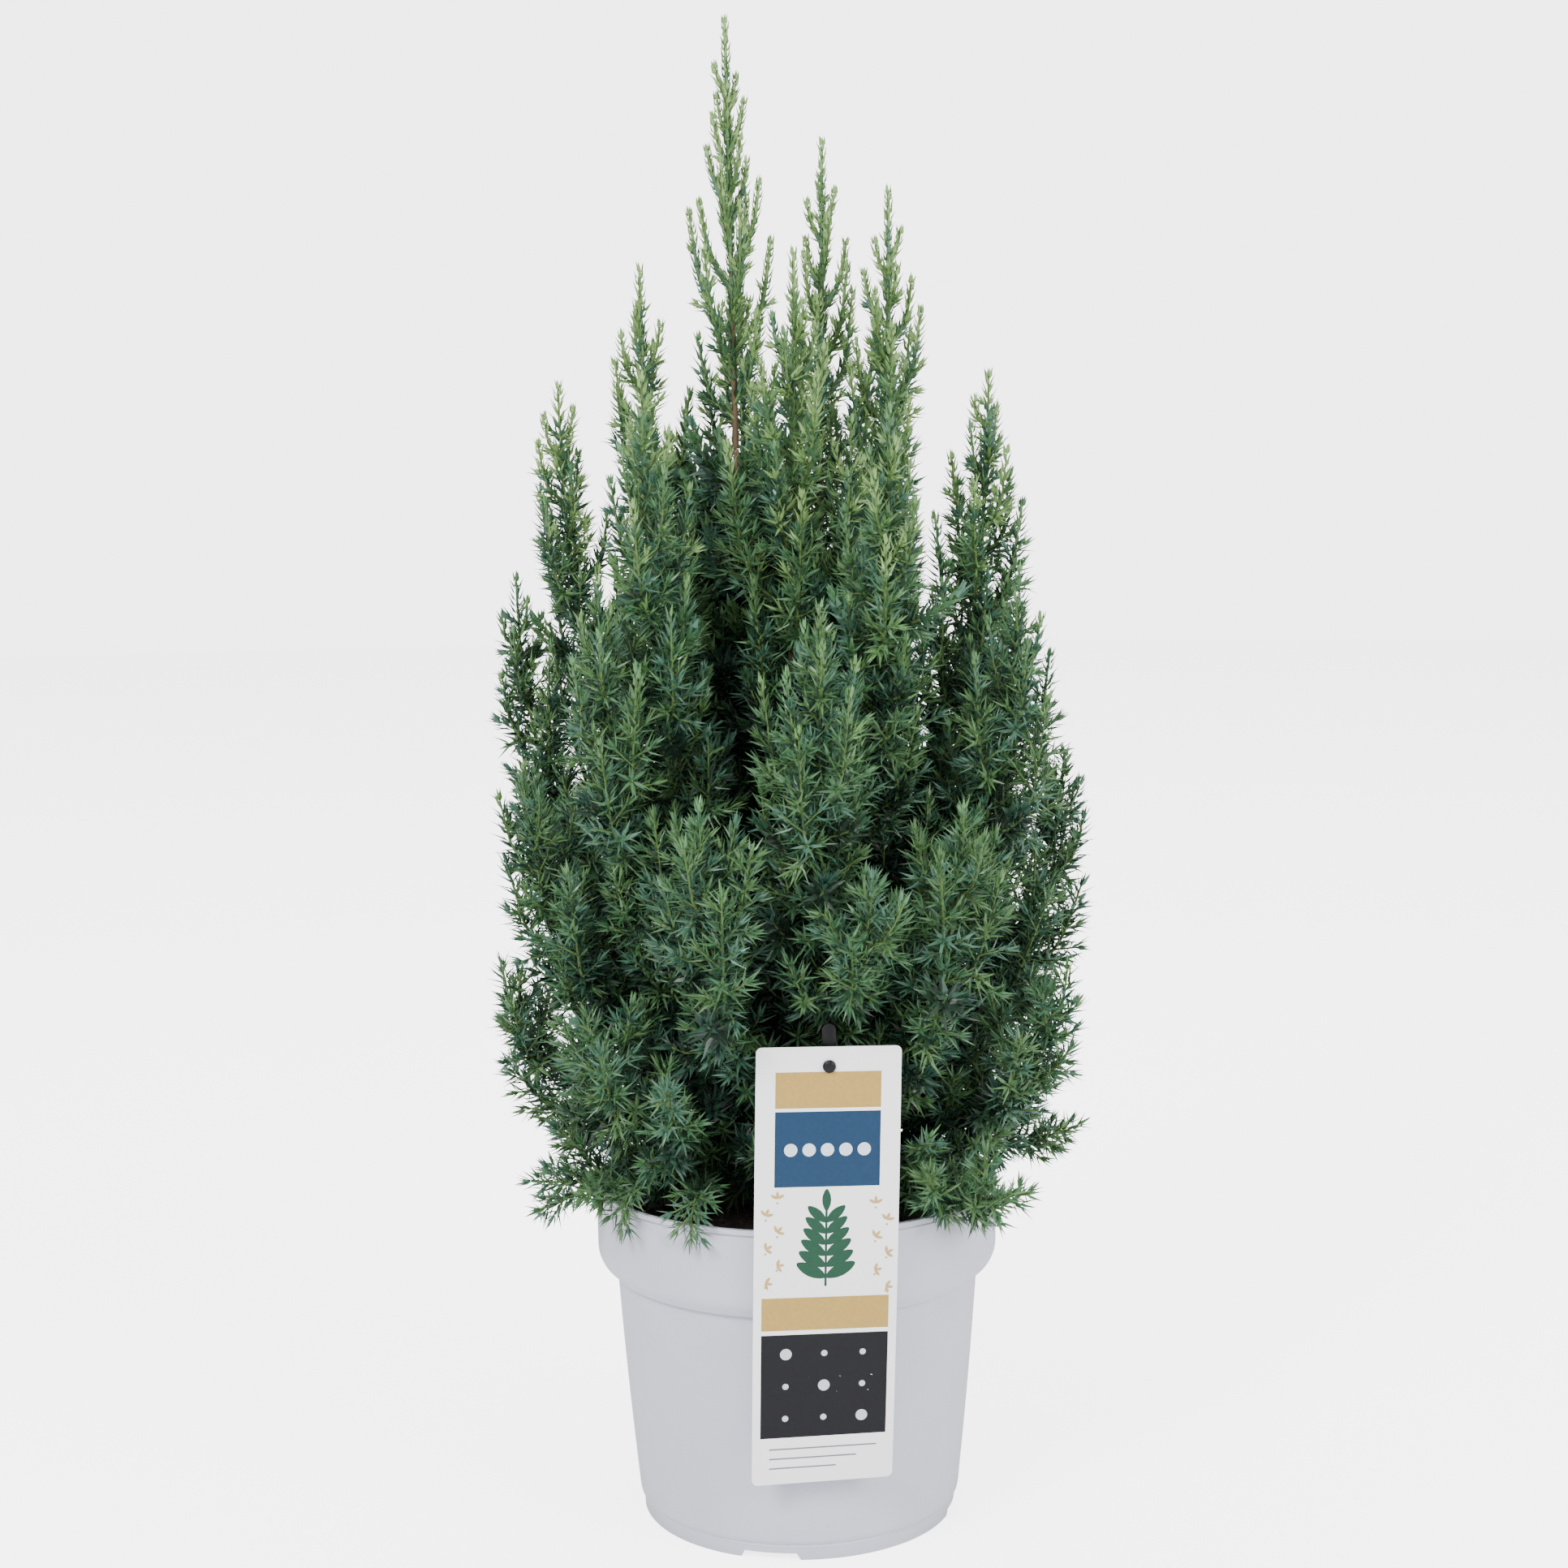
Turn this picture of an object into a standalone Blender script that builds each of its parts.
# Potted chinese juniper: an upright young conifer of plumes in a nursery pot.
# A single leaning trunk carries boughs and plumes of needle sprays. The pot is a
# thin moulded shell full of soil, and a white card hangs on a black holder in it.
# Metres, +Z up. The origin is the centre of the pot's underside.

import math

import bpy
import bmesh
import numpy as np
from mathutils import Matrix, Vector

# Driving sizes of the pot
RIM_RADIUS = 0.095
POT_HEIGHT = 0.159
COLLAR_FOOT_Z = 0.1176
COLLAR_FOOT_RADIUS = 0.0885
BODY_TOP_RADIUS = 0.0853
BODY_FOOT_RADIUS = 0.0762
BODY_FOOT_Z = 0.011
COLLAR_INSET = 0.0008
COLLAR_BEND = 0.0122
COLLAR_BEND_Z = 0.1288
COLLAR_BEND_END = -37.0
COLLAR_EDGE_RISE = 0.0007
RIM_EDGE = 0.0006
FOOT_RING_RADIUS = 0.0742
FOOT_RING_HEIGHT = 0.0068
RIM_WIDTH = 0.0026
WALL = 0.0019
FOOT_RECESS = 0.0036
FLOOR_CORNER = 0.0010
POT_SEGMENTS = 36
SOIL_SEGMENTS = 18
NOTCH_COUNT = 4
NOTCH_ANGLE = math.radians(-100.7)
NOTCH_WIDTH = 0.030
NOTCH_ROOF_WIDTH = 0.024
NOTCH_HEIGHT = 0.0033
NOTCH_DEPTH = 0.010
NOTCH_SETBACK = 0.0018
NOTCH_DROP = 0.002

# Driving sizes of the plant
GAP = 0.0003
SOIL_TOP = 0.1460
SOIL_FLAT_RADIUS = 0.070
SOIL_EDGE_DROP = 0.002
SOIL_CLEARANCE = GAP + 0.0001
TRUNK_FOOT = SOIL_TOP + GAP
TRUNK_TIP = 0.500
PLANT_TOP = 0.692
TRUNK_RADIUS = 0.0062
TRUNK_TIP_RADIUS = 0.0015
ROOT_FLARE = 0.0045
FLARE_HEIGHT = 0.010
LEAN = 0.026
LEAN_HEIGHT = 0.42
SWAY = 0.0022
SWAY_HALF_TURNS = 3.5
SWAY_DEPTH_SHARE = 0.6
TRUNK_TAPER = 0.85
CROWN_FOLLOW = 0.28

# Driving sizes of the sprays
GOLDEN_TURN = math.radians(137.508)
LONGEST_SPRAY = 0.052
SHORTEST_SPRAY = 0.012
SPRAYS_PER_METRE = 30.0
SPRAY_TAPER = 0.58
SPRAY_START = 0.20
SPRAY_SPAN = 0.72
SPRAY_SIZES = (1.0, 0.8, 0.62)
FOOT_OPENING = 46.0
OPENING_LOSS = 16.0
LONG_SPRAY = 0.047
CORE_WHORLS = 5
CORE_RADIUS = 0.0300
CORE_TIP_RADIUS = 0.0030
LEAST_CORE = 0.0016
CORE_START = 0.15
CORE_SPAN = 0.70
CORE_NOTCH = 0.66
CORE_TOOTH_RISE = 0.6
SPACE_MARGIN = 0.0014
LOWEST_SPRAY = 0.146
RIM_CLEARANCE = 0.0010
RIM_BAND = 0.016
CARD_SIDE_LEFT = 0.007
CARD_SIDE_RIGHT = 0.003
CARD_BACK = 0.0045
HOLDER_CLEARANCE = 0.0012
SEED = 11

# Driving sizes of the hanging card and its holder
CARD_WIDTH = 0.0632
CARD_TOP = Vector((0.0145, -0.0965, 0.2418))
CARD_FOOT = Vector((0.0098, -0.0885, 0.0432))
CARD_THICKNESS = 0.0005
CARD_CORNER = 0.0025
CARD_YAW_TOP = math.radians(2.0)
CARD_YAW_FOOT = math.radians(9.0)
PEG_X = 0.0146
PEG_Z = 0.2332
PEG_RADIUS = 0.0017
PEG_HEAD_RADIUS = 0.0029
HOLDER_WIDTH = 0.0062
HOLDER_THICKNESS = 0.0016
HOLDER_TOP = 0.2515
HOLDER_FOOT = 0.100
HOLDER_FOOT_Y = -0.0775
HOLDER_TOP_Y = -0.0935
CARD_BOW = 0.0034
SECTOR_LEFT = 0.014
SECTOR_RIGHT = 0.010
LOW_PLUME_SETBACK = 0.008
TALL_PLUME_RISE = 0.074
CROSSING_RISE = 0.016

# Leading plumes: name, tip, height where the bough leaves the trunk
LEADERS = (
    ("inner_right", Vector((0.017, 0.018, 0.640)), 0.305),
    ("outer_right", Vector((0.046, -0.014, 0.615)), 0.280),
    ("left", Vector((-0.067, 0.004, 0.584)), 0.292),
    ("front", Vector((0.003, -0.046, 0.586)), 0.318),
    ("back", Vector((-0.022, 0.056, 0.594)), 0.330),
)
LEADER_BOUGH_SHARE = 0.22
LEADER_GIRTH = 0.72

# Tiers of plumes round the trunk: name, number, foot height, tip radius, tip
# height, first azimuth in degrees, share of the length that is bough
TIERS = (
    ("inner", 3, 0.350, 0.056, 0.520, 70.0, 0.0),
    ("shoulder", 6, 0.270, 0.099, 0.530, 180.0, 0.20),
    ("upper", 7, 0.238, 0.120, 0.446, 180.0, 0.0),
    ("middle", 7, 0.208, 0.130, 0.366, 154.3, 0.0),
    ("lower", 7, 0.184, 0.133, 0.276, 180.0, 0.0),
    ("skirt", 7, 0.166, 0.137, 0.184, 154.3, 0.0),
)
TURN_JITTER = 6.0
TIP_JITTER = 0.03
HEIGHT_JITTER = 0.014
FOOT_STEP = 0.009
WIDEST_REACH = 0.1400
AXIS_OUT = 0.50
AXIS_UP = 0.62
AXIS_CROSSING = 0.30
FOOT_SETBACK = 0.0002
FOOT_STRETCH = 0.007
BOUGH_RADIUS = 0.0024
STEM_RADIUS = 0.0016
LEADER_STEM_RADIUS = 0.0018

GREEN = (0.045, 0.115, 0.070)
BARK = (0.165, 0.085, 0.045)


def clear_scene():
    for item in list(bpy.data.objects):
        bpy.data.objects.remove(item, do_unlink=True)


def new_collection(name):
    collection = bpy.data.collections.new(name)
    bpy.context.scene.collection.children.link(collection)
    return collection


def finish(name, colour, roughness, metallic=0.0):
    material = bpy.data.materials.new(name)
    material.use_nodes = True
    shader = material.node_tree.nodes["Principled BSDF"]
    shader.inputs["Base Color"].default_value = (*colour, 1.0)
    shader.inputs["Roughness"].default_value = roughness
    shader.inputs["Metallic"].default_value = metallic
    return material


def add_object(name, mesh, collection, material=None):
    item = bpy.data.objects.new(name, mesh)
    collection.objects.link(item)
    if material is not None:
        mesh.materials.clear()
        mesh.materials.append(material)
    return item


def as_helper(item):
    item.hide_render = True
    item.display_type = "WIRE"


def mesh_from(name, bm):
    bm.normal_update()
    bmesh.ops.recalc_face_normals(bm, faces=bm.faces)
    mesh = bpy.data.meshes.new(name)
    bm.to_mesh(mesh)
    bm.free()
    return mesh


def smooth(mesh, degrees=40.0):
    mesh.shade_smooth()
    mesh.set_sharp_from_angle(angle=math.radians(degrees))


def turned(name, profile, segments, collection, material):
    # A profile of (radius, height) points, spun about the Z axis
    bm = bmesh.new()
    verts = [bm.verts.new((radius, 0.0, height)) for radius, height in profile]
    for first, second in zip(verts, verts[1:]):
        bm.edges.new((first, second))
    mesh = bpy.data.meshes.new(name)
    bm.to_mesh(mesh)
    bm.free()
    item = add_object(name, mesh, collection, material)
    screw = item.modifiers.new("turn", "SCREW")
    screw.steps = segments
    screw.render_steps = segments
    screw.use_merge_vertices = True
    screw.merge_threshold = 0.00001
    return item


def cut(item, cutter):
    boolean = item.modifiers.new("cut " + cutter.name, "BOOLEAN")
    boolean.operation = "DIFFERENCE"
    boolean.solver = "EXACT"
    boolean.object = cutter


def arc(centre, radius, start, end, count):
    # Points on a circle in the profile's plane, angles in degrees
    points = []
    for index in range(count + 1):
        angle = math.radians(start + (end - start) * index / count)
        points.append((centre[0] + radius * math.cos(angle), centre[1] + radius * math.sin(angle)))
    return points


# Pot and soil

def body_radius(height):
    share = (height - BODY_FOOT_Z) / (COLLAR_FOOT_Z - BODY_FOOT_Z)
    return BODY_FOOT_RADIUS + share * (BODY_TOP_RADIUS - BODY_FOOT_RADIUS)


def collar_curve(inset, steps):
    # The collar's lower edge sweeps in from its side to the body, top to bottom
    side = RIM_RADIUS - COLLAR_INSET
    centre = (side - COLLAR_BEND, COLLAR_BEND_Z)
    sweep = arc(centre, COLLAR_BEND - inset, 0.0, COLLAR_BEND_END, steps)
    return sweep + [(COLLAR_FOOT_RADIUS - inset, COLLAR_FOOT_Z + COLLAR_EDGE_RISE + inset * 0.6)]


def pot_profile():
    inner_side = RIM_RADIUS - RIM_WIDTH
    floor = FOOT_RECESS + WALL
    inside = [(0.0, floor), (body_radius(BODY_FOOT_Z) - WALL - FLOOR_CORNER, floor)]
    inside += [(body_radius(COLLAR_FOOT_Z) - WALL, COLLAR_FOOT_Z)]
    inside += list(reversed(collar_curve(WALL, 2)))
    inside += [(inner_side, POT_HEIGHT)]
    outside = [(RIM_RADIUS - RIM_EDGE, POT_HEIGHT), (RIM_RADIUS, POT_HEIGHT - RIM_EDGE)]
    outside += collar_curve(0.0, 4)
    outside += [(BODY_TOP_RADIUS, COLLAR_FOOT_Z - 0.0002)]
    outside += [(body_radius(BODY_FOOT_Z), BODY_FOOT_Z)]
    outside += [(body_radius(BODY_FOOT_Z) - 0.0008, 0.0086), (FOOT_RING_RADIUS, FOOT_RING_HEIGHT)]
    outside += [(FOOT_RING_RADIUS - 0.0003, 0.0)]
    under = [(FOOT_RING_RADIUS - 0.0034, 0.0), (FOOT_RING_RADIUS - 0.0038, FOOT_RECESS)]
    under += [(0.0, FOOT_RECESS)]
    return inside + outside + under


def inner_radius(height):
    # Inside radius of the pot at a height, for what must stay clear of it
    profile = [point for point in pot_profile() if point[1] >= COLLAR_FOOT_Z - 0.001]
    inside = profile[: profile.index(max(profile, key=lambda point: point[1])) + 1]
    for low, high in zip(inside, inside[1:]):
        if low[1] <= height <= high[1]:
            share = (height - low[1]) / max(high[1] - low[1], 1e-9)
            return low[0] + share * (high[0] - low[0])
    return RIM_RADIUS - RIM_WIDTH


def notch_cutter(index, collection):
    bm = bmesh.new()
    bmesh.ops.create_cube(bm, size=1.0)
    for vert in bm.verts:
        half = 0.5 * (NOTCH_ROOF_WIDTH if vert.co.z > 0.0 else NOTCH_WIDTH)
        vert.co.y = math.copysign(half, vert.co.y)
        vert.co.x = FOOT_RING_RADIUS - NOTCH_SETBACK + vert.co.x * NOTCH_DEPTH
        vert.co.z = NOTCH_HEIGHT if vert.co.z > 0.0 else -NOTCH_DROP
    turn = Matrix.Rotation(NOTCH_ANGLE + index * math.tau / NOTCH_COUNT, 4, "Z")
    bm.transform(turn)
    cutter = add_object(f"notch_{index + 1}", mesh_from("notch", bm), collection)
    as_helper(cutter)
    return cutter


def make_pot(parts, cutters):
    plastic = finish("pot plastic", (0.58, 0.60, 0.64), 0.42)
    pot = turned("pot", pot_profile(), POT_SEGMENTS, parts, plastic)
    for index in range(NOTCH_COUNT):
        cut(pot, notch_cutter(index, cutters))
    return pot


def make_soil(parts, cutters):
    earth = finish("potting soil", (0.020, 0.014, 0.010), 0.95)
    floor = FOOT_RECESS + WALL + GAP
    foot = body_radius(BODY_FOOT_Z) - WALL - FLOOR_CORNER - SOIL_CLEARANCE
    neck = body_radius(COLLAR_FOOT_Z) - WALL - SOIL_CLEARANCE
    edge = SOIL_TOP - SOIL_EDGE_DROP
    profile = [(0.0, SOIL_TOP), (SOIL_FLAT_RADIUS, SOIL_TOP)]
    profile += [(inner_radius(edge) - SOIL_CLEARANCE, edge)]
    profile += [(radius - SOIL_CLEARANCE, height + GAP) for radius, height in collar_curve(WALL, 2)]
    profile += [(neck, COLLAR_FOOT_Z + GAP), (foot, floor), (0.0, floor)]
    soil = turned("soil", profile, SOIL_SEGMENTS, parts, earth)
    socket = holder_strip("holder_socket", 2.0 * GAP, cutters)
    as_helper(socket)
    cut(soil, socket)
    return soil


# Trunk and the plumes' axes

def trunk_point(height):
    share = min(max((height - SOIL_TOP) / LEAN_HEIGHT, 0.0), 1.0)
    rise = share * share * (3.0 - 2.0 * share)
    sway = SWAY * math.sin(SWAY_HALF_TURNS * math.pi * share) * share
    return Vector((-LEAN * rise + sway, SWAY_DEPTH_SHARE * sway, height))


def trunk_radius(height):
    share = (height - TRUNK_FOOT) / (TRUNK_TIP - TRUNK_FOOT)
    taper = TRUNK_RADIUS + (TRUNK_TIP_RADIUS - TRUNK_RADIUS) * share ** TRUNK_TAPER
    flare = ROOT_FLARE * math.exp(-(height - TRUNK_FOOT) / FLARE_HEIGHT)
    return taper + flare


def bezier(a, b, c, d, share):
    rest = 1.0 - share
    return (rest ** 3) * a + (3.0 * rest * rest * share) * b + (3.0 * rest * share * share) * c + (
        share ** 3
    ) * d


def foot_tilt(tip, rise, start, reach_out):
    # How steeply the line climbs over its first few millimetres
    second = tip - Vector((0.0, 0.0, rise * AXIS_UP))
    points = [bezier(start, start + reach_out, second, tip, index / 200.0) for index in range(60)]
    ahead = next(point for point in points if (point - start).length > FOOT_STRETCH)
    return (ahead - start).normalized().z


def plume_axis(foot_height, tip, foot_radius, count=24):
    # From the trunk's side, out and then up to the tip, as evenly spaced points
    foot = trunk_point(foot_height)
    outward = Vector((tip.x - foot.x, tip.y - foot.y, 0.0))
    reach = outward.length
    outward.normalize()
    rise = tip.z - foot_height
    seat = foot + outward * (trunk_radius(foot_height) + GAP + FOOT_SETBACK)
    reach_out = outward * reach * AXIS_OUT
    start = seat + outward * foot_radius * foot_tilt(tip, rise, seat, reach_out)
    first = start + reach_out
    second = tip - Vector((0.0, 0.0, rise * AXIS_UP))
    fine = [bezier(start, first, second, tip, index / 200.0) for index in range(201)]
    return even_points(fine, count)


def even_points(points, count):
    lengths = [0.0]
    for first, second in zip(points, points[1:]):
        lengths.append(lengths[-1] + (second - first).length)
    result = []
    for index in range(count + 1):
        wanted = lengths[-1] * index / count
        place = min(int(np.searchsorted(lengths, wanted)), len(points) - 1)
        low = max(place - 1, 0)
        step = max(lengths[place] - lengths[low], 1e-9)
        share = (wanted - lengths[low]) / step if place > low else 0.0
        result.append(points[low].lerp(points[place], share))
    return result


def line_length(points):
    return sum((second - first).length for first, second in zip(points, points[1:]))


def point_along(points, share):
    # Place and direction at a share of an evenly spaced line
    place = min(max(share, 0.0), 0.9999) * (len(points) - 1)
    low = int(place)
    here = points[low].lerp(points[low + 1], place - low)
    return here, (points[low + 1] - points[low]).normalized()


def jitter(index, salt):
    # A repeatable value from -1 to 1 for each plume
    return 2.0 * ((math.sin(12.9898 * (index + 1) + 78.233 * salt + SEED) * 43758.5453) % 1.0) - 1.0


def clear_card_front(level, tip):
    # A low plume behind the card stays behind it, a taller one starts above it
    left = CARD_TOP.x - CARD_WIDTH / 2 - SECTOR_LEFT
    right = CARD_TOP.x + CARD_WIDTH / 2 + SECTOR_RIGHT
    if tip.y > 0.0 or not left < tip.x < right:
        return level
    if tip.z < HOLDER_TOP:
        tip.y = HOLDER_FOOT_Y + LOW_PLUME_SETBACK
        return level
    tip.z = max(tip.z, HOLDER_TOP + TALL_PLUME_RISE)
    crossing = HOLDER_TOP + CROSSING_RISE
    return max(level, (crossing - AXIS_CROSSING * tip.z) / (1.0 - AXIS_CROSSING))


def plan_plumes():
    # One entry for each plume: name, whole axis, share that is bough, girth
    top = Vector((-LEAN - 0.0005, 0.0, PLANT_TOP))
    start = trunk_point(TRUNK_TIP) + Vector((0.0, 0.0, GAP))
    leader = [start.lerp(top, index / 24.0) for index in range(25)]
    plumes = [{"name": "leader", "axis": leader, "bough": 0.0, "stem": TRUNK_TIP_RADIUS}]
    plumes[0]["girth"] = LEADER_GIRTH
    for name, tip, foot in LEADERS:
        axis = plume_axis(foot, tip, BOUGH_RADIUS)
        plume = {"name": name, "axis": axis, "bough": LEADER_BOUGH_SHARE}
        plume.update(stem=LEADER_STEM_RADIUS, girth=LEADER_GIRTH)
        plumes.append(plume)
    for tier, (name, number, foot, radius, height, first, bough) in enumerate(TIERS):
        for index in range(number):
            angle = math.radians(first + 360.0 * index / number + TURN_JITTER * jitter(index, tier))
            reach = radius * (1.0 + TIP_JITTER * jitter(index, tier + 10))
            tip = CROWN_FOLLOW * trunk_point(height)
            tip += Vector((reach * math.cos(angle), reach * math.sin(angle), 0.0))
            tip.z = height + HEIGHT_JITTER * jitter(index, tier + 20)
            level = clear_card_front(foot + FOOT_STEP * (index % 3 - 1), tip)
            axis = plume_axis(level, tip, BOUGH_RADIUS if bough else STEM_RADIUS)
            plume = {"name": f"{name}_{index + 1}", "axis": axis, "bough": bough}
            plume.update(stem=STEM_RADIUS, girth=1.0)
            plumes.append(plume)
    return plumes


# Keeping each mass in its own space

def split_axis(plume):
    # The bough's line and the mass's line, 0.3 mm apart
    axis = plume["axis"]
    if plume["bough"] == 0.0:
        return None, axis
    fine = [point_along(axis, index / 120.0)[0] for index in range(121)]
    turn = round(plume["bough"] * 120)
    bough = [fine[0]] + even_points(fine[3 : turn + 1], 3)
    heading = (fine[turn + 1] - fine[turn]).normalized()
    mass = [fine[turn] + heading * GAP] + fine[turn + 1 :]
    return bough, even_points(mass, 20)


class Space:
    # The lines of every mass, and the limbs with their radii
    def __init__(self, lines, limbs):
        points = []
        owners = []
        for owner, line in enumerate(lines):
            for index in range(4 * (len(line) - 1) + 1):
                here, _ = point_along(line, index / (4.0 * (len(line) - 1)))
                points.append(here)
                owners.append(owner)
        self.points = np.array([tuple(point) for point in points])
        self.owners = np.array(owners)
        self.limb_points = np.array([tuple(point) for point, _ in limbs])
        self.limb_radii = np.array([radius for _, radius in limbs])

    def other_distance(self, owner, place):
        others = self.points[self.owners != owner]
        return float(np.min(np.linalg.norm(others - np.array(place), axis=1)))

    def own_distance(self, owner, place):
        own = self.points[self.owners == owner]
        return float(np.min(np.linalg.norm(own - np.array(place), axis=1)))

    def limb_distance(self, place):
        away = np.linalg.norm(self.limb_points - np.array(place), axis=1)
        return float(np.min(away - self.limb_radii))

    def free(self, owner, place):
        if self.limb_distance(place) < SPACE_MARGIN or not clear_of_pot(place):
            return False
        if not clear_of_card(place):
            return False
        if math.hypot(place[0] - CROWN_FOLLOW * trunk_point(place[2]).x, place[1]) > WIDEST_REACH:
            return False
        return self.own_distance(owner, place) + SPACE_MARGIN < self.other_distance(owner, place)


def clear_of_pot(place):
    # Above the rim anywhere near it, and a little lower well outside it
    radius = math.hypot(place[0], place[1])
    near = radius < RIM_RADIUS + RIM_BAND
    return place[2] > (POT_HEIGHT + RIM_CLEARANCE if near else LOWEST_SPRAY)


def holder_y(height):
    # The holder leans out of the soil towards the card
    share = (height - HOLDER_FOOT) / (HOLDER_TOP - HOLDER_FOOT)
    return HOLDER_FOOT_Y + share * (HOLDER_TOP_Y - HOLDER_FOOT_Y)


def clear_of_card(place):
    beside = place[0] < CARD_TOP.x - CARD_WIDTH / 2 - CARD_SIDE_LEFT
    beside = beside or place[0] > CARD_TOP.x + CARD_WIDTH / 2 + CARD_SIDE_RIGHT
    if beside or place[2] > HOLDER_TOP + HOLDER_CLEARANCE:
        return True
    if place[1] < CARD_TOP.y + CARD_BACK and place[2] < CARD_TOP.z + HOLDER_CLEARANCE:
        return False
    near_holder = abs(place[0] - PEG_X) < HOLDER_WIDTH / 2 + HOLDER_CLEARANCE
    behind = holder_y(place[2]) + HOLDER_THICKNESS / 2 + HOLDER_CLEARANCE
    return not (near_holder and place[1] < behind)


# Making limbs, cores and sprays

def tube(name, points, radii, resolution, collection, material):
    # A round limb: a poly curve with a bevel and filled caps, made a mesh
    curve = bpy.data.curves.new(name, "CURVE")
    curve.dimensions = "3D"
    curve.bevel_depth = 1.0
    curve.bevel_resolution = resolution
    curve.use_fill_caps = True
    spline = curve.splines.new("POLY")
    spline.points.add(len(points) - 1)
    for slot, point, radius in zip(spline.points, points, radii):
        slot.co = (*point, 1.0)
        slot.radius = radius
    guide = bpy.data.objects.new(name + " guide", curve)
    collection.objects.link(guide)
    graph = bpy.context.evaluated_depsgraph_get()
    mesh = bpy.data.meshes.new_from_object(guide.evaluated_get(graph))
    bpy.data.objects.remove(guide, do_unlink=True)
    bpy.data.curves.remove(curve)
    bm = bmesh.new()
    bm.from_mesh(mesh)
    bmesh.ops.remove_doubles(bm, verts=bm.verts, dist=0.00001)
    bmesh.ops.recalc_face_normals(bm, faces=bm.faces)
    bm.to_mesh(mesh)
    bm.free()
    mesh.name = name
    smooth(mesh)
    return add_object(name, mesh, collection, material)


def across(direction, roll=0.0):
    # Two unit vectors square to a direction, turned about it
    side = direction.cross(Vector((0.0, 0.0, 1.0)))
    if side.length < 0.05:
        side = direction.cross(Vector((0.0, 1.0, 0.0)))
    side.normalize()
    side = Matrix.Rotation(roll, 3, direction) @ side
    return side, direction.cross(side).normalized()


def loft(rings, tip=None, start=None):
    # Rings of equal count joined by faces, closed by a point or a flat end
    bm = bmesh.new()
    loops = [[bm.verts.new(point) for point in ring] for ring in rings]
    for low, high in zip(loops, loops[1:]):
        for index in range(len(low)):
            following = (index + 1) % len(low)
            bm.faces.new((low[index], low[following], high[following], high[index]))
    for loop, point in ((loops[0], start), (loops[-1], tip)):
        if point is None:
            bm.faces.new(loop)
            continue
        apex = bm.verts.new(point)
        for index in range(len(loop)):
            bm.faces.new((loop[index], loop[(index + 1) % len(loop)], apex))
    bmesh.ops.triangulate(bm, faces=bm.faces)
    return bm


def ring(centre, direction, radius, sides, roll=0.0):
    first, second = across(direction, roll)
    points = []
    for index in range(sides):
        angle = math.tau * index / sides
        points.append(centre + radius * (math.cos(angle) * first + math.sin(angle) * second))
    return points


def star_ring(base, direction, notch, tooth, rise, roll, first_tooth):
    # Three teeth that point forward between three notches: one whorl of needles
    first, second = across(direction, roll)
    points = []
    for index in range(6):
        angle = math.tau * index / 6.0
        is_tooth = index % 2 == first_tooth
        radius = tooth if is_tooth else notch
        lift = rise if is_tooth else 0.0
        outward = math.cos(angle) * first + math.sin(angle) * second
        points.append(base + direction * lift + outward * radius)
    return points


def drawn_in(space, owner, base, point):
    # A point of a whorl, drawn towards the stem until it is in its own space
    offset = point - base
    while offset.length > LEAST_CORE and not space.free(owner, base + offset):
        offset *= 0.85
    return base + offset


def spray_rings(root, direction, length, width, whorls, roll):
    # One or two whorls of teeth between a root point and a pointed tip
    rings = []
    for index in range(whorls):
        share = 0.40 + 0.24 * (2 * index - whorls + 1)
        size = width * (1.0 - 0.30 * index)
        base = root + direction * share * length
        rings.append(star_ring(base, direction, size * 0.22, size * 0.5, length * 0.17, roll, index % 2))
    return rings, root + direction * length


def spray_fits(space, owner, rings, root, tip):
    for loop in rings:
        for point in loop:
            if not space.free(owner, point):
                return False
    return space.free(owner, tip)


def spray_sizes(share, mass_length):
    # Length and width of the side spray at a share of the mass's stem
    grown = math.sin(math.pi * min(1.0, 0.16 + 0.90 * share)) ** 0.7
    length = SHORTEST_SPRAY + (LONGEST_SPRAY - SHORTEST_SPRAY) * grown
    length *= min(1.0, 0.72 + 1.3 * mass_length)
    length = min(length, 0.006 + SPRAY_TAPER * (1.0 - share) * mass_length)
    return length, 0.32 * length + 0.002


def add_sprays(space, owner, line, collection):
    # Side sprays at golden turns round the stem, each shorter if it must be
    length = line_length(line)
    count = max(6, round(length * SPRAYS_PER_METRE))
    for index in range(count):
        share = SPRAY_START + SPRAY_SPAN * index / (count - 1)
        root, heading = point_along(line, share)
        reach, width = spray_sizes(share, length)
        angle = index * GOLDEN_TURN + 1.7 * owner
        side, other = across(heading)
        outward = math.cos(angle) * side + math.sin(angle) * other
        opening = math.radians(FOOT_OPENING - OPENING_LOSS * share)
        direction = (math.cos(opening) * heading + math.sin(opening) * outward).normalized()
        for size in SPRAY_SIZES:
            whorls = 2 if reach * size > LONG_SPRAY else 1
            rings, tip = spray_rings(root, direction, reach * size, width * size, whorls, angle)
            if spray_fits(space, owner, rings, root, tip):
                spray = mesh_from("spray", loft(rings, tip, root))
                add_object(f"spray_{owner}_{index}", spray, collection)
                break


def core_radius(share, girth):
    # The core swells from its foot, then tapers slowly to the shoot's tip
    swell = min(1.0, 0.45 + 1.6 * share)
    full = girth * CORE_RADIUS - CORE_TIP_RADIUS
    return CORE_TIP_RADIUS + full * swell * (1.0 - share) ** 0.8


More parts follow.
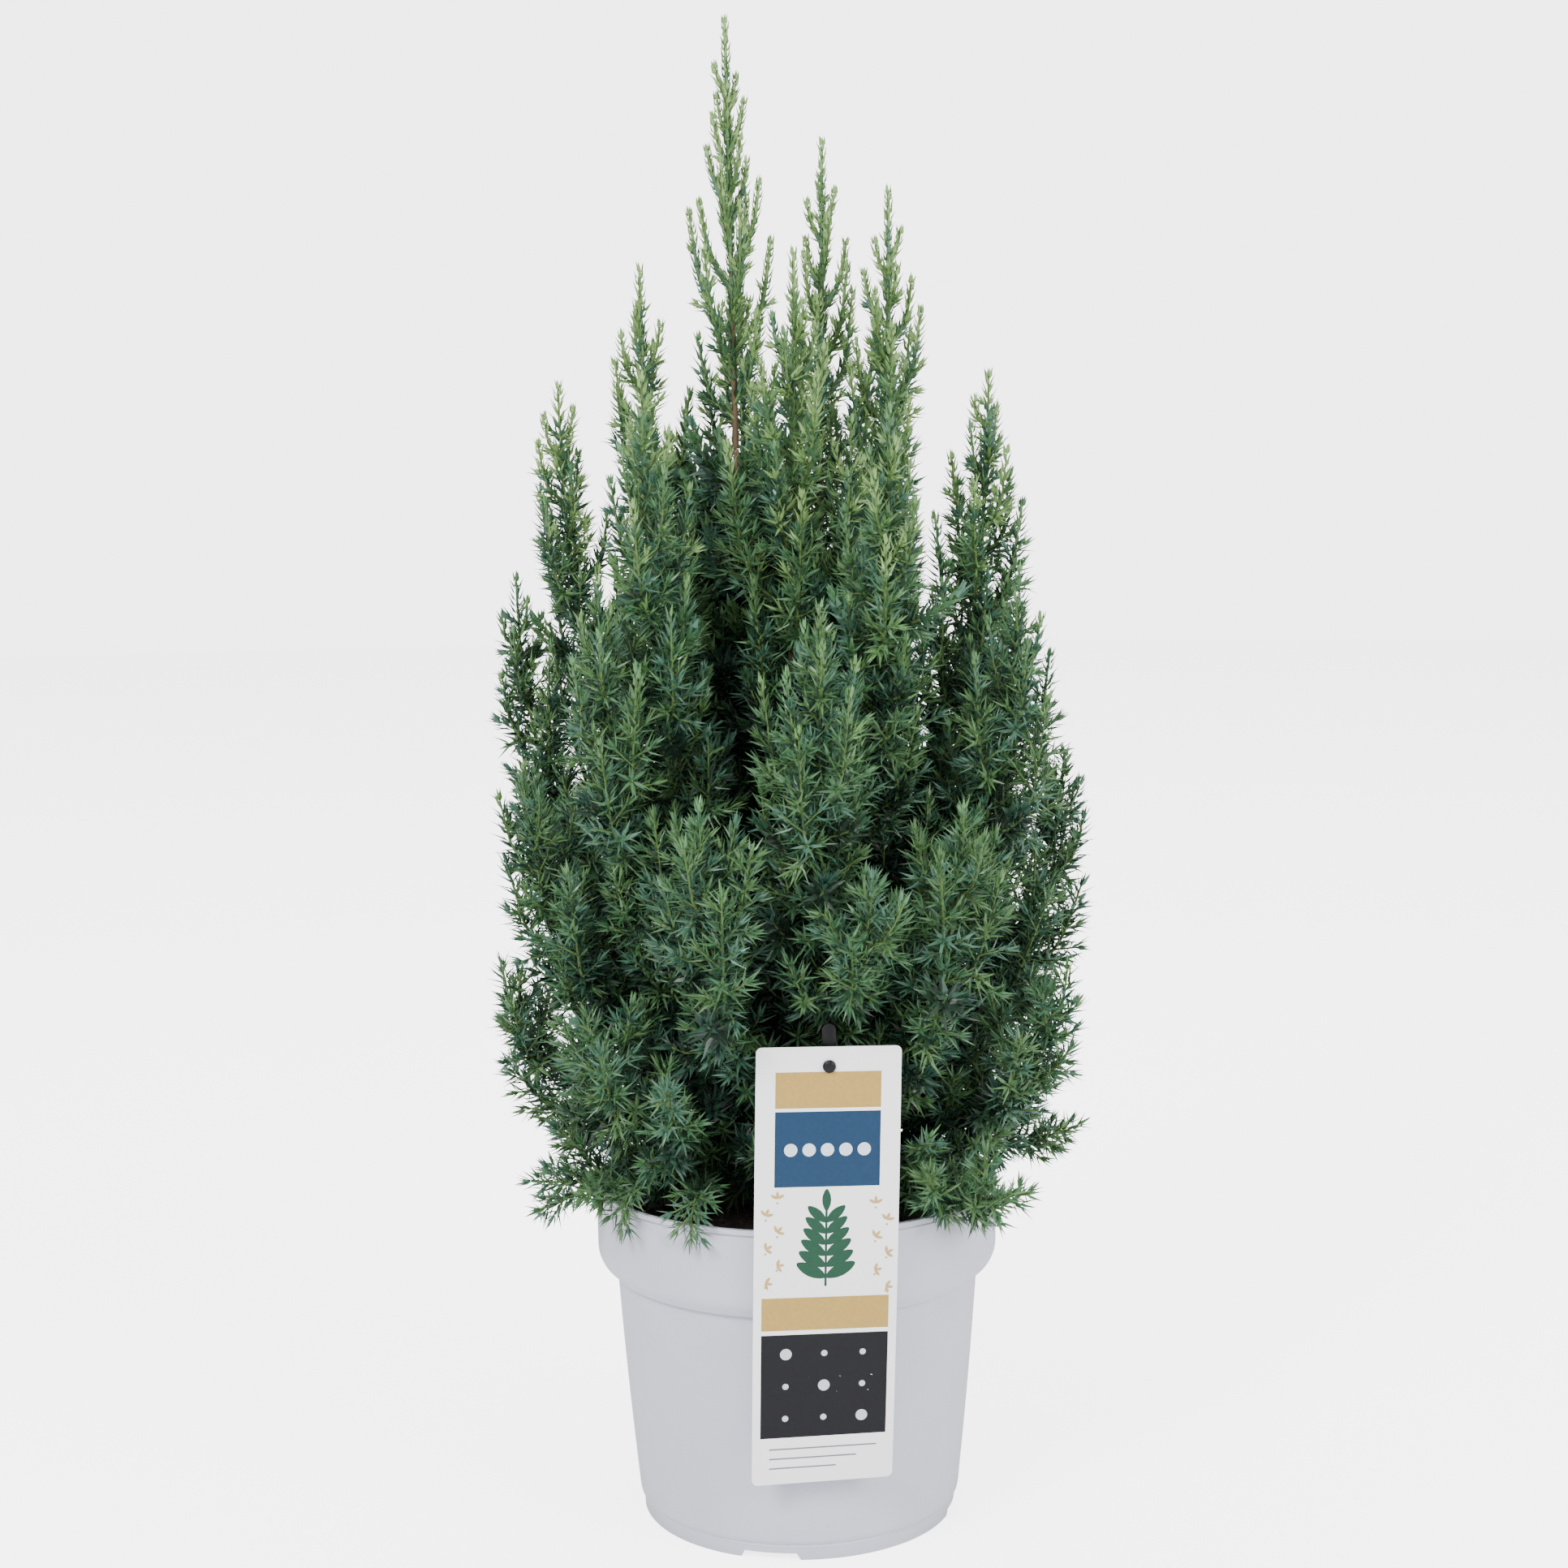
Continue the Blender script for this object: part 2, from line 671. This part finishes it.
def make_core(space, owner, line, girth):
    # A toothed spindle about the stem, slimmer where neighbours come near
    rings = []
    for index in range(CORE_WHORLS):
        share = CORE_START + CORE_SPAN * index / (CORE_WHORLS - 1)
        centre, heading = point_along(line, share)
        tooth = core_radius(share, girth)
        notch = tooth * CORE_NOTCH
        rise = tooth * CORE_TOOTH_RISE
        whorl = star_ring(centre, heading, notch, tooth, rise, owner, index % 2)
        rings.append([drawn_in(space, owner, centre, point) for point in whorl])
    start = point_along(line, 0.05)[0]
    return mesh_from("core", loft(rings, line[-1], start))


def make_stem(line, radius):
    # The mass's own three-sided twig, from its flat foot into the core
    rings = []
    for share in (0.0, 0.06, 0.14):
        centre, heading = point_along(line, share)
        rings.append(ring(centre, heading, radius * (1.0 - 0.5 * share), 3))
    return mesh_from("stem", loft(rings, point_along(line, 0.24)[0]))


def keep_body(mesh):
    # Loose scraps and sealed hollows go: only the largest shell stays
    bm = bmesh.new()
    bm.from_mesh(mesh)
    bmesh.ops.triangulate(bm, faces=bm.faces, quad_method="FIXED", ngon_method="EAR_CLIP")
    left = set(bm.faces)
    shells = []
    while left:
        stack = [left.pop()]
        shell = list(stack)
        while stack:
            for edge in stack.pop().edges:
                for face in edge.link_faces:
                    if face in left:
                        left.discard(face)
                        shell.append(face)
                        stack.append(face)
        shells.append(shell)
    shells.sort(key=lambda shell: sum(face.calc_area() for face in shell))
    for shell in shells[:-1]:
        bmesh.ops.delete(bm, geom=shell, context="FACES")
    loose = [vert for vert in bm.verts if not vert.link_faces]
    bmesh.ops.delete(bm, geom=loose, context="VERTS")
    bm.to_mesh(mesh)
    bm.free()


def is_closed(mesh):
    bm = bmesh.new()
    bm.from_mesh(mesh)
    closed = all(len(edge.link_faces) == 2 for edge in bm.edges)
    bm.free()
    return closed


def join_pieces(item, pieces):
    # One union of the object with a collection, which is then emptied
    join = item.modifiers.new("join", "BOOLEAN")
    join.operation = "UNION"
    join.operand_type = "COLLECTION"
    join.collection = pieces
    for solver in ("EXACT", "MANIFOLD"):
        join.solver = solver
        graph = bpy.context.evaluated_depsgraph_get()
        joined = bpy.data.meshes.new_from_object(item.evaluated_get(graph))
        keep_body(joined)
        if is_closed(joined):
            break
    item.modifiers.clear()
    item.data = joined
    for piece in list(pieces.objects):
        bpy.data.objects.remove(piece, do_unlink=True)
    bpy.data.collections.remove(pieces)


def make_clearance(cutters):
    # The pot grown a little: what hangs over the rim is trimmed clear of it
    top = POT_HEIGHT + 2.0 * GAP
    reach = RIM_RADIUS + 2.0 * GAP
    profile = [(0.0, top), (reach, top), (reach, COLLAR_FOOT_Z), (0.0, COLLAR_FOOT_Z)]
    clearance = turned("rim_clearance", profile, POT_SEGMENTS, cutters, None)
    as_helper(clearance)
    return clearance


def make_mass(space, owner, plume, line, parts, material):
    name = "plume_" + plume["name"]
    pieces = new_collection(name + " pieces")
    mass = add_object(name, make_core(space, owner, line, plume["girth"]), parts, material)
    add_object(name + " stem", make_stem(line, plume["stem"]), pieces)
    add_sprays(space, owner, line, pieces)
    join_pieces(mass, pieces)
    mass.data.name = name
    return mass


# Hanging card and its holder

def card_point(across_share, down_share):
    # The card hangs from the peg and turns a little towards its foot
    centre = CARD_TOP.lerp(CARD_FOOT, down_share)
    centre.y -= CARD_BOW * math.sin(math.pi * down_share)
    yaw = CARD_YAW_TOP + (CARD_YAW_FOOT - CARD_YAW_TOP) * down_share ** 2
    reach = across_share * CARD_WIDTH
    return centre + Vector((reach * math.cos(yaw), reach * math.sin(yaw), 0.0))


def make_card(parts, cutters):
    plastic = finish("card plastic", (0.86, 0.86, 0.88), 0.35)
    length = (CARD_TOP - CARD_FOOT).length
    bm = bmesh.new()
    bmesh.ops.create_grid(bm, x_segments=2, y_segments=8, size=0.5)
    for vert in bm.verts:
        vert.co.x *= CARD_WIDTH
        vert.co.y *= length
    corners = [vert for vert in bm.verts if len(vert.link_edges) == 2]
    bmesh.ops.bevel(
        bm,
        geom=corners,
        affect="VERTICES",
        offset=CARD_CORNER,
        offset_type="OFFSET",
        segments=3,
        profile=0.5,
        material=-1,
    )
    for vert in bm.verts:
        vert.co = card_point(vert.co.x / CARD_WIDTH, 0.5 - vert.co.y / length)
    card = add_object("tag_card", mesh_from("tag_card", bm), parts, plastic)
    thicken = card.modifiers.new("thickness", "SOLIDIFY")
    thicken.thickness = CARD_THICKNESS
    thicken.offset = 0.0
    bm = bmesh.new()
    bmesh.ops.create_cone(
        bm, segments=12, radius1=PEG_RADIUS + GAP, radius2=PEG_RADIUS + GAP, depth=0.02, cap_ends=True
    )
    bm.transform(Matrix.Translation((PEG_X, CARD_TOP.y, PEG_Z)) @ Matrix.Rotation(math.pi / 2, 4, "X"))
    hole = add_object("card_hole", mesh_from("card_hole", bm), cutters)
    as_helper(hole)
    cut(card, hole)
    return card


def holder_strip(name, grow, collection, material=None):
    # The flat strip stands in the soil just inside the rim, with a rounded head
    half = HOLDER_WIDTH / 2 + grow
    depth = HOLDER_THICKNESS + 2.0 * grow
    outline = [(-half * 0.25, HOLDER_FOOT - grow), (half * 0.25, HOLDER_FOOT - grow)]
    outline += [(half, HOLDER_FOOT + 0.010)]
    outline += arc((0.0, HOLDER_TOP - half), half, 0.0, 180.0, 6)
    outline += [(-half, HOLDER_FOOT + 0.010)]
    bm = bmesh.new()
    front = [bm.verts.new((PEG_X + x, holder_y(z) - depth / 2, z)) for x, z in outline]
    face = bm.faces.new(front)
    pushed = bmesh.ops.extrude_face_region(bm, geom=[face])["geom"]
    moved = [item for item in pushed if isinstance(item, bmesh.types.BMVert)]
    bmesh.ops.translate(bm, verts=moved, vec=(0.0, depth, 0.0))
    bmesh.ops.triangulate(bm, faces=bm.faces)
    return add_object(name, mesh_from(name, bm), collection, material)


def make_holder(parts):
    black = finish("black plastic", (0.012, 0.012, 0.013), 0.40)
    holder = holder_strip("tag_holder", 0.0, parts, black)
    back = holder_y(PEG_Z)
    face = card_point(0.0, (CARD_TOP.z - PEG_Z) / (CARD_TOP.z - CARD_FOOT.z)).y
    front = face - CARD_THICKNESS / 2 - GAP
    profile = [(0.0, front - 0.0016), (PEG_HEAD_RADIUS * 0.7, front - 0.0014)]
    profile += [(PEG_HEAD_RADIUS, front - 0.0008), (PEG_HEAD_RADIUS, front)]
    profile += [(PEG_RADIUS, front), (PEG_RADIUS, back)]
    rings = []
    for radius, place in profile[1:]:
        centre = Vector((PEG_X, place, PEG_Z))
        rings.append(ring(centre, Vector((0.0, 1.0, 0.0)), radius, 12))
    pieces = new_collection("peg pieces")
    tip = Vector((PEG_X, profile[0][1], PEG_Z))
    add_object("peg", mesh_from("peg", loft(rings, None, tip)), pieces)
    join_pieces(holder, pieces)
    return holder


# The whole plant

def make_trunk(parts, material):
    heights = [TRUNK_FOOT, TRUNK_FOOT + 0.005, TRUNK_FOOT + 0.012, TRUNK_FOOT + 0.024]
    steps = 12
    first = heights[-1]
    heights += [first + (TRUNK_TIP - first) * (index + 1) / steps for index in range(steps)]
    points = [trunk_point(height) for height in heights]
    points[1].x = points[0].x
    points[1].y = points[0].y
    radii = [trunk_radius(height) for height in heights]
    return tube("trunk", points, radii, 2, parts, material)


def make_plant(parts, cutters):
    bark = finish("bark", BARK, 0.85)
    foliage = finish("needles", GREEN, 0.60)
    make_trunk(parts, bark)
    plumes = plan_plumes()
    lines = []
    limbs = []
    for index in range(120):
        height = TRUNK_FOOT + (TRUNK_TIP - TRUNK_FOOT) * index / 119.0
        limbs.append((trunk_point(height), trunk_radius(height)))
    for plume in plumes:
        bough, mass = split_axis(plume)
        lines.append(mass)
        if bough is None:
            continue
        slimming = plume["stem"] - BOUGH_RADIUS
        radii = [BOUGH_RADIUS + slimming * index / 4.0 for index in range(5)]
        tube("bough_" + plume["name"], bough, radii, 1, parts, bark)
        for index in range(31):
            here, _ = point_along(bough, index / 30.0)
            limbs.append((here, BOUGH_RADIUS))
    space = Space(lines, limbs)
    clearance = make_clearance(cutters)
    for owner, (plume, line) in enumerate(zip(plumes, lines)):
        mass = make_mass(space, owner, plume, line, parts, foliage)
        if plume["name"].startswith("skirt"):
            cut(mass, clearance)


def main():
    clear_scene()
    parts = new_collection("potted juniper")
    cutters = new_collection("cutters")
    make_pot(parts, cutters)
    make_soil(parts, cutters)
    make_holder(parts)
    make_card(parts, cutters)
    make_plant(parts, cutters)


main()
